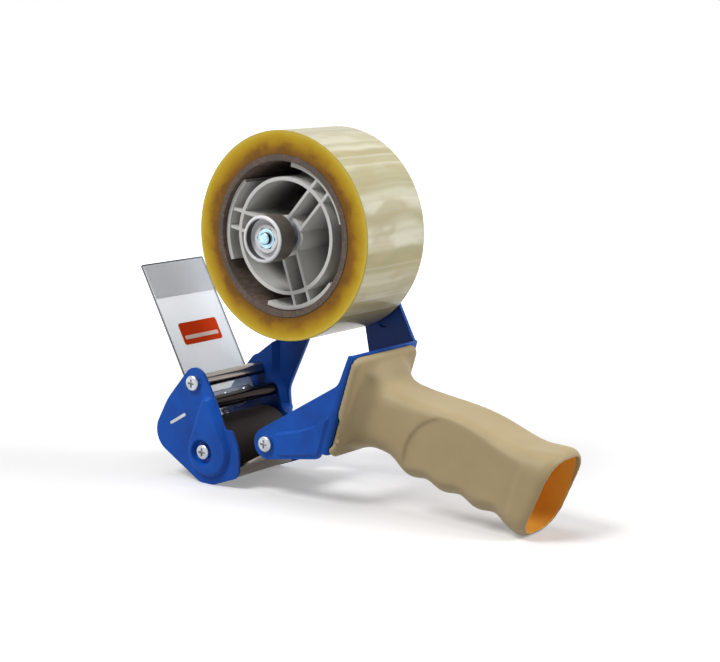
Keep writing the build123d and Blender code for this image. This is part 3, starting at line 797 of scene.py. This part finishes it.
@dataclass
class Finishes:
    """Every finish of the dispenser, made once."""

    hub_middle: Point
    made: dict[str, bpy.types.Material] = field(default_factory=dict)

    def build(self) -> None:
        """Make all materials."""
        for finish in (*self.metals(), *self.plastics(), *self.roll(), self.flap()):
            self.made[finish.name] = finish.material()

    def metals(self) -> tuple[CoatedSteel | BareMetal, ...]:
        """List the coated and the bare metals."""
        nut_low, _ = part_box("knob_nut")
        axle_low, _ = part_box("hub_axle")
        drawn = Grain.DRAWN_ACROSS
        polish = 0.000001
        return (
            CoatedSteel(
                "blue_coat",
                colour=srgb(10, 90, 194),
                deep=srgb(4, 72, 164),
                worn=srgb(44, 108, 190),
                # The inner colour is painted shade inside the frame
                inner=srgb(2, 36, 100),
                half_way=self.hub_middle[1] + 0.006,
            ),
            # bright_bar's dark brown clouds along the bar are painted reflections of dark surroundings
            BareMetal("bright_bar", srgb(178, 170, 162), srgb(96, 84, 78), 0.16, drawn, polish),
            # painted_dark_bar is bar steel painted dark: a painted reflection of dark surroundings
            BareMetal("painted_dark_bar", srgb(70, 62, 58), srgb(44, 38, 36), 0.18, drawn, polish),
            BareMetal("guard_steel", srgb(168, 160, 150), srgb(112, 104, 96), 0.28, drawn),
            BareMetal("blade_steel", srgb(206, 208, 210), srgb(186, 188, 190), 0.22, drawn),
            BareMetal("zinc_plate", srgb(200, 204, 208), srgb(172, 176, 182), 0.26),
            BareMetal("spring_wire", srgb(160, 162, 165), srgb(120, 122, 125), 0.30),
            # The nut's and the axle's sides behind their front faces get painted shade
            SideShadedMetal("blue_zinc", srgb(196, 226, 238), srgb(160, 196, 212), 0.3, front=nut_low.y),
            SideShadedMetal("axle_steel", srgb(190, 222, 236), srgb(150, 186, 200), 0.3, front=axle_low.y),
        )

    def plastics(self) -> tuple[MouldedPlastic | RollerRubber, ...]:
        """List the mouldings, the stickers and the rubber."""
        hub_low, hub_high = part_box("hub_moulding")
        knob_low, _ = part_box("tension_knob")
        return (
            MouldedPlastic("black_nylon", srgb(44, 44, 47), srgb(34, 34, 36), 0.42),
            HubPlastic(
                "hub_grey",
                srgb(226, 226, 222),
                srgb(210, 209, 204),
                0.36,
                middle=self.hub_middle,
                front=hub_low.y,
                back=hub_high.y,
            ),
            KnobPlastic(
                "knob_white",
                srgb(250, 250, 250),
                srgb(242, 242, 246),
                0.28,
                middle=self.hub_middle,
                front=knob_low.y,
            ),
            GripPlastic("grip_beige", srgb(186, 168, 130), srgb(176, 157, 118), 0.42, specular=0.25),
            MouldedPlastic("sticker_orange", srgb(230, 66, 12), srgb(220, 58, 8), 0.6, specular=0.1),
            MouldedPlastic("sticker_pale", srgb(250, 226, 216), srgb(244, 214, 202), 0.6, specular=0.1),
            MouldedPlastic(
                "band_grey",
                srgb(200, 202, 208),
                srgb(192, 194, 200),
                0.5,
                specular=0.2,
                alpha=0.4,
            ),
            RollerRubber(),
        )

    def roll(self) -> tuple[WoundFilm, WoundCard]:
        """List the film and the card of the roll."""
        winding_low, winding_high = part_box("tape_winding")
        core_low, core_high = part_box("tape_core")
        film = WoundFilm(
            "wound_film",
            self.hub_middle,
            inner=(core_high.x - core_low.x) / 2,
            outer=(winding_high.x - winding_low.x) / 2,
            half_width=(winding_high.y - winding_low.y) / 2,
        )
        return film, WoundCard()

    def flap(self) -> ClearSheet:
        """Fit the clear sheet to the flap."""
        flap_low, flap_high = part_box("tape_flap")
        foot = (flap_high.x, self.hub_middle[1], flap_low.z)
        return ClearSheet("flap_sheet", foot, (flap_high.y - flap_low.y) / 2)


@dataclass
class Dressing:
    """A CAD piece that keeps its shape and gets a finish and lightly broken edges."""

    node: str
    finish: str
    body: str
    edge: float = 0.0002
    same_point: float = 0.000002
    same_plane: float = radians(1.0)
    sharp: float = radians(35)

    def build(self, frame: Mapping[str, Any], finishes: Finishes) -> bpy.types.Object:
        """Merge a copy of the piece, break its edges and dress it.

        Args:
            frame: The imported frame.
            finishes: The finishes that were made.

        Returns:
            The finished piece.
        """
        mesh = self.merged(frame)
        soften(mesh)
        mark_facing(mesh)
        piece = place_piece(f"{self.node}_look", mesh, finishes.made[self.finish])
        if self.edge:
            bevel = piece.modifiers.new("broken_edges", "BEVEL")
            bevel.width = self.edge
            bevel.segments = 2
            bevel.limit_method = "ANGLE"
            bevel.angle_limit = self.sharp
            bevel.harden_normals = True
        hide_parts(self.node)
        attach(piece, self.body)
        return piece

    def merged(self, frame: Mapping[str, Any]) -> bpy.types.Mesh:
        """Copy the node's loose triangles into one closed mesh with flat faces joined.

        Args:
            frame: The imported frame.

        Returns:
            The mesh.
        """
        mesh = bpy.data.meshes.new(f"{self.node}_look")
        form = bmesh.new()
        form.from_mesh(frame["nodes"][self.node].data)
        bmesh.ops.remove_doubles(form, verts=form.verts, dist=self.same_point)
        bmesh.ops.dissolve_limit(
            form,
            angle_limit=self.same_plane,
            verts=form.verts,
            edges=form.edges,
            delimit={"NORMAL"},
        )
        form.to_mesh(mesh)
        form.free()
        return mesh


@dataclass
class Grip(Dressing):
    """The moulded handle: its neck flows into the flange, and its bore is a warm orange.

    The flange lies on a plane that leans by lean and passes through foot_from_hub, which is
    given along X and Z. Depths are measured from that plane, off the flange's face.
    """

    voxel: float = 0.0008
    lean: float = radians(16.4)
    foot_from_hub: tuple[float, float] = (0.0321, -0.1083)
    flange: tuple[float, float, float] = (0.054, 0.0545, 0.0044)
    flange_shift: float = -0.0006
    corner: float = 0.005
    rim_round: float = 0.0026
    dish: float = 0.0002
    neck: Span = (0.0024, 0.022)
    root_reach: float = 0.012
    lip: float = 0.0020
    bore_from_hub: tuple[tuple[float, float], ...] = ((0.062, -0.0925), (0.150, -0.1145))

    def build(self, frame: Mapping[str, Any], finishes: Finishes) -> bpy.types.Object:
        """Remesh a copy of the handle, shape its flange and neck and dress it.

        Args:
            frame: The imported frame.
            finishes: The finishes that were made.

        Returns:
            The finished handle.
        """
        raw = place_piece("grip_raw", self.merged(frame), finishes.made[self.finish])
        even = raw.modifiers.new("even_faces", "REMESH")
        even.mode = "VOXEL"
        even.voxel_size = self.voxel
        seen = raw.evaluated_get(bpy.context.evaluated_depsgraph_get())
        mesh = bpy.data.meshes.new_from_object(seen)
        mesh.name = f"{self.node}_look"
        mesh.materials.clear()
        bpy.data.objects.remove(raw)
        form = bmesh.new()
        form.from_mesh(mesh)
        smooth(form, form.verts, 5)
        self.shape_flange(form, finishes.hub_middle)
        self.mark_bore(form, finishes.hub_middle)
        for face in form.faces:
            face.smooth = True
        form.to_mesh(mesh)
        form.free()
        piece = place_piece(f"{self.node}_look", mesh, finishes.made[self.finish])
        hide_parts(self.node)
        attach(piece, self.body)
        return piece

    def shape_flange(self, form: bmesh.types.BMesh, hub: Point) -> None:
        """Round the flange's rim, dish its face and let the neck flow into it.

        Args:
            form: The handle.
            hub: Middle of the roll.
        """
        layer = form.verts.layers.float.new("neck")
        normal = Vector((cos(self.lean), 0, -sin(self.lean)))
        x, z = self.foot_from_hub
        foot = Vector((hub[0] + x, hub[1] + self.flange_shift, hub[2] + z))
        thickness = self.flange[2]
        start, end = self.neck
        zone = []
        face = []
        for vert in form.verts:
            depth = (vert.co - foot).dot(normal)
            inside = self.from_outline(vert.co - foot)
            if depth > end or depth < thickness / 3:
                continue
            if depth < thickness * 1.25:
                vert.co += normal * min(0.0, self.face_height(inside) - depth)
            if inside > 0.7 * self.rim_round and depth > start:
                face.append(vert)
            if inside > 2 * self.rim_round and depth > start:
                zone.append((depth, vert))
                within = min(1.0, inside / self.rim_round / 2 - 1)
                # The neck mark places the painted shade at the root of the neck
                vert[layer] = within * max(0.0, 1 - abs(depth - thickness) / self.root_reach)
        smooth(form, [vert for depth, vert in zone if depth < thickness * 1.25], 3)
        for share in (1.0, 0.8, 0.6, 0.45):
            smooth(form, [vert for depth, vert in zone if depth < end * share], 16)
        smooth(form, face, 18)

    def from_outline(self, place: Vector) -> float:
        """Measure how far inside the flange's rounded outline a point lies.

        Args:
            place: The point, from the flange's foot.

        Returns:
            The distance, which is negative outside.
        """
        width, height, _ = self.flange
        uphill = Vector((sin(self.lean), 0, cos(self.lean)))
        across = abs(place.y) - width / 2 + self.corner
        up = abs(place.dot(uphill) - height / 2) - height / 2 + self.corner
        return self.corner - Vector((max(across, 0), max(up, 0))).length - min(0, max(across, up))

    def face_height(self, inside: float) -> float:
        """Find how high the flange's face stands at some distance from its outline.

        Args:
            inside: The distance inside the outline.

        Returns:
            The height over the flange's back.
        """
        reach = max(0.0, min(1.0, inside / self.rim_round))
        height = self.flange[2] - self.rim_round * (1 - (1 - (1 - reach) ** 2) ** 0.5)
        inner = max(0.0, min(1.0, inside / self.rim_round - 1))
        return height - self.dish * inner * inner * (3 - 2 * inner)

    def mark_bore(self, form: bmesh.types.BMesh, hub: Point) -> None:
        """Mark how much each point of the bore faces its axis, up to the lip.

        Args:
            form: The handle.
            hub: Middle of the roll.
        """
        layer = form.verts.layers.float.new("bore")
        form.normal_update()
        first, last = (Vector((hub[0] + x, hub[1], hub[2] + z)) for x, z in self.bore_from_hub)
        along = last - first
        way = along.normalized()
        end = max((vert.co - first).dot(way) for vert in form.verts)
        for vert in form.verts:
            if vert.co.x <= first.x:
                continue
            share = min(1.0, max(0.0, (vert.co - first).dot(along) / along.length_squared))
            outwards = vert.co - (first + along * share)
            inset = end - (vert.co - first).dot(way) - self.lip
            facing = max(0.0, -vert.normal.dot(outwards.normalized()))
            vert[layer] = facing * min(1.0, max(0.0, inset / self.lip))


@dataclass
class Sticker:
    """Thin rounded sheet on the front face of the flap."""

    name: str
    finish: str
    middle: tuple[float, float]
    size: tuple[float, float]
    corner: float
    thickness: float = 0.00012

    def build(self, flap: "FlapFace", finishes: Finishes) -> bpy.types.Object:
        """Make the sticker on the flap.

        Args:
            flap: The face that it is stuck on.
            finishes: The finishes that were made.

        Returns:
            The sticker.
        """
        form = bmesh.new()
        bmesh.ops.create_grid(form, x_segments=1, y_segments=1, size=0.5)
        bmesh.ops.scale(form, vec=(*self.size, 1), verts=form.verts)
        bmesh.ops.bevel(
            form,
            geom=form.verts,
            offset=self.corner,
            segments=6,
            profile=0.5,
            affect="VERTICES",
            material=-1,
        )
        top = bmesh.ops.extrude_face_region(form, geom=form.faces)["geom"]
        moved = [part for part in top if isinstance(part, bmesh.types.BMVert)]
        bmesh.ops.translate(form, vec=(0, 0, self.thickness), verts=moved)
        bmesh.ops.recalc_face_normals(form, faces=form.faces)
        bmesh.ops.transform(form, matrix=flap.matrix(self.middle), verts=form.verts)
        mesh = bpy.data.meshes.new(self.name)
        form.to_mesh(mesh)
        form.free()
        piece = place_piece(self.name, mesh, finishes.made[self.finish])
        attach(piece, "root")
        return piece


@dataclass
class FlapFace:
    """Front face of the flap, from its foot up the slope."""

    foot: Vector

    def matrix(self, at: tuple[float, float]) -> Matrix:
        """Turn a flat piece onto the face.

        Args:
            at: Distance across from the middle and up from the foot.

        Returns:
            The matrix, with its x across, its y up the slope and its z off the face.
        """
        across = Vector((0, 1, 0))
        uphill = Vector((cos(FLAP_SLOPE), 0, sin(FLAP_SLOPE)))
        place = self.foot + across * at[0] + uphill * at[1]
        turn = Matrix((across, uphill, across.cross(uphill))).transposed().to_4x4()
        return Matrix.Translation(place) @ turn


def smooth(form: bmesh.types.BMesh, verts: Iterable[bmesh.types.BMVert], times: int) -> None:
    """Even out part of a mesh.

    Args:
        form: The mesh.
        verts: Its points that may move.
        times: Number of passes.
    """
    chosen = list(verts)
    for _ in range(times):
        bmesh.ops.smooth_vert(
            form,
            verts=chosen,
            factor=0.5,
            use_axis_x=True,
            use_axis_y=True,
            use_axis_z=True,
        )


def soften(mesh: bpy.types.Mesh, limit: float = radians(28)) -> None:
    """Shade a mesh smoothly, apart from its real edges.

    Args:
        mesh: The mesh.
        limit: Smallest angle that counts as an edge.
    """
    form = bmesh.new()
    form.from_mesh(mesh)
    for face in form.faces:
        face.smooth = True
    for line in form.edges:
        line.smooth = len(line.link_faces) == 2 and line.calc_face_angle(0) < limit
    form.to_mesh(mesh)
    form.free()


def mark_facing(mesh: bpy.types.Mesh) -> None:
    """Note on each face how squarely it looks towards the near side."""
    facing = mesh.attributes.new("near_facing", "FLOAT", "FACE")
    for face, mark in zip(mesh.polygons, facing.data):
        mark.value = -face.normal.y


def place_piece(name: str, mesh: bpy.types.Mesh, finish: bpy.types.Material) -> bpy.types.Object:
    """Put a mesh into the scene with its finish.

    Args:
        name: The piece's name.
        mesh: Its mesh, in the row frame.
        finish: Its finish.

    Returns:
        The piece.
    """
    piece = bpy.data.objects.new(name, mesh)
    bpy.context.scene.collection.objects.link(piece)
    mesh.materials.append(finish)
    return piece


@dataclass(frozen=True)
class Lamp:
    """Soft square lamp, with its place and side in metres and its power in watts."""

    name: str
    place: Point
    side: float
    power: float

    def build(self, target: Vector) -> None:
        """Hang the lamp so that it faces the target."""
        light = bpy.data.lights.new(self.name, "AREA")
        light.size = self.side
        light.energy = self.power
        holder = bpy.data.objects.new(self.name, light)
        holder.location = self.place
        holder.rotation_euler = (target - Vector(self.place)).to_track_quat("-Z", "Y").to_euler()
        bpy.context.scene.collection.objects.link(holder)


@dataclass
class Studio:
    """Floor, lamps and camera."""

    target: Vector
    hub_middle: Vector
    eye_from_hub: Point = (0.5568, -0.7361, 0.1113)
    right: Point = (0.8122, 0.5831, 0.0186)
    up: Point = (-0.1161, 0.1303, 0.9847)
    lens: float = 90.0
    sensor: float = 36.0
    ambient: float = 0.12
    white: tuple[float, float, float, float] = (1, 1, 1, 1)
    floor_side: float = 6
    floor_colour: Colour = (0.80, 0.79, 0.79)
    floor_bounce: float = 0.7
    floor_glow: float = 0.28
    floor_fade: Span = (0.25, 0.7)
    lamps: tuple[Lamp, ...] = (
        Lamp("key", (1.7, 0.8, 1.3), 1.0, 25.0),
        Lamp("overhead", (-0.2, 0.0, 2.1), 1.0, 9.5),
        Lamp("near_high", (-0.55, -1.4, 2.0), 0.9, 37.0),
    )

    def build(self) -> None:
        """Set up everything round the object."""
        self.add_floor()
        self.add_world()
        self.add_camera()
        for lamp in self.lamps:
            lamp.build(self.target)
        bpy.context.scene.view_settings.view_transform = "Standard"

    def add_floor(self) -> None:
        """Add the pale table top, which keeps the shadow near the object and is white far off."""
        form = bmesh.new()
        bmesh.ops.create_grid(form, x_segments=1, y_segments=1, size=self.floor_side)
        mesh = bpy.data.meshes.new("table_top")
        form.to_mesh(mesh)
        form.free()
        floor = bpy.data.objects.new("table_top", mesh)
        bpy.context.scene.collection.objects.link(floor)
        graph = Graph("pale_table")
        x, y, _ = graph.axes(graph.place())
        far = ((x * x + y * y) ** 0.5).ramp(*self.floor_fade)
        seen = seen_rays(graph)
        dull = tuple(part * self.floor_bounce for part in self.floor_colour)
        colour = graph.mix(seen, dull, self.floor_colour)
        matt = graph.add("ShaderNodeBsdfDiffuse", {}, {"Color": colour})
        strength = seen * (self.floor_glow + (1 - self.floor_glow) * far)
        glow = graph.add("ShaderNodeEmission", {}, {"Color": self.white, "Strength": strength})
        graph.close(graph.add("ShaderNodeAddShader", {}, {0: matt, 1: glow}))
        mesh.materials.append(graph.material)
        floor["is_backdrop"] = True

    def add_world(self) -> None:
        """Give the surroundings a soft white, as the camera and reflections see them."""
        world = bpy.data.worlds.new("soft_white")
        bpy.context.scene.world = world
        world.use_nodes = True
        graph = Graph("soft_white", world.node_tree)
        strength = self.ambient + (1 - self.ambient) * seen_rays(graph)
        sky = graph.add("ShaderNodeBackground", {}, {"Color": self.white, "Strength": strength})
        graph.close(sky, "ShaderNodeOutputWorld")

    def add_camera(self) -> None:
        """Place the camera that was fitted to the view."""
        camera = bpy.data.cameras.new("view_camera")
        camera.lens = self.lens
        camera.sensor_width = self.sensor
        camera.sensor_fit = "HORIZONTAL"
        holder = bpy.data.objects.new("view_camera", camera)
        right, up = Vector(self.right).normalized(), Vector(self.up)
        back = right.cross(up).normalized()
        up = back.cross(right)
        turn = Matrix((right, up, back)).transposed().to_4x4()
        holder.matrix_world = Matrix.Translation(self.hub_middle + Vector(self.eye_from_hub)) @ turn
        bpy.context.scene.collection.objects.link(holder)
        bpy.context.scene.camera = holder


# Node, finish, body and width of the broken edges
PIECES: tuple[tuple[str, str, str, float], ...] = (
    ("main_frame", "blue_coat", "root", 0.0003),
    ("near_head_plate", "blue_coat", "root", 0.0003),
    ("blade_holder", "zinc_plate", "root", 0.0002),
    ("top_guide_pin", "bright_bar", "root", 0.0001),
    ("lower_guide_pin", "painted_dark_bar", "root", 0.0001),
    ("rear_pin", "bright_bar", "root", 0.0001),
    ("roller_axle", "bright_bar", "root", 0.0001),
    ("pan_head_screws", "zinc_plate", "root", 0.0001),
    ("cutter_blade", "blade_steel", "root", 0.0),
    ("blade_screws", "zinc_plate", "root", 0.0001),
    ("blade_nuts", "zinc_plate", "root", 0.0001),
    ("tape_flap", "flap_sheet", "root", 0.0),
    ("flap_clamp_strip", "zinc_plate", "root", 0.0001),
    ("flap_rivets", "zinc_plate", "root", 0.0001),
    ("guard_plate", "guard_steel", "guard", 0.0002),
    ("guard_spring", "spring_wire", "root", 0.0),
    ("roller_bushes", "black_nylon", "roller", 0.0001),
    ("roller_core", "black_nylon", "roller", 0.0001),
    ("rubber_roller", "roller_rubber", "roller", 0.0002),
    ("hub_axle", "axle_steel", "root", 0.0001),
    ("axle_washer", "zinc_plate", "root", 0.0001),
    ("axle_nut", "zinc_plate", "root", 0.0001),
    ("friction_washer", "black_nylon", "root", 0.0001),
    ("hub_moulding", "hub_grey", "hub", 0.0002),
    ("thrust_washer", "zinc_plate", "root", 0.0001),
    ("brake_spring", "spring_wire", "root", 0.0),
    ("tension_knob", "knob_white", "knob", 0.0003),
    ("knob_nut", "blue_zinc", "knob", 0.0001),
    ("tape_core", "core_card", "tape_roll", 0.0003),
    ("tape_winding", "wound_film", "tape_roll", 0.0003),
    ("handle_screws", "zinc_plate", "root", 0.0001),
)


# Middle across and up the flap, size, corner and thickness
STICKERS: tuple[Sticker, ...] = (
    Sticker("orange_sticker", "sticker_orange", (0.0, 0.0400), (0.0310, 0.0125), 0.0015),
    Sticker("pale_stripe", "sticker_pale", (0.0, 0.0378), (0.0270, 0.0022), 0.0006, 0.0002),
    Sticker("grey_band", "band_grey", (0.0, 0.0712), (0.0480, 0.0190), 0.0004, 0.00006),
)


def main() -> None:
    """Build the looks of the whole dispenser."""
    logging.basicConfig(level=logging.INFO, format="%(name)s: %(message)s")
    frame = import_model()
    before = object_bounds()
    low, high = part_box("tape_winding")
    middle = (low + high) / 2
    finishes = Finishes(tuple(middle))
    finishes.build()
    for node, finish, body, edge in PIECES:
        piece = Dressing(node, finish, body, edge).build(frame, finishes)
        LOG.info("%s: %d faces", piece.name, len(piece.data.polygons))
    Grip("handle", "grip_beige", "root").build(frame, finishes)
    flap_low, flap_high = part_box("tape_flap")
    front = FlapFace(Vector((flap_high.x, middle.y, flap_low.z + FLAP_SKIN)))
    for sticker in STICKERS:
        sticker.build(front, finishes)
    Studio((before[0] + before[1]) / 2, middle).build()


if __name__ == "__main__":
    main()
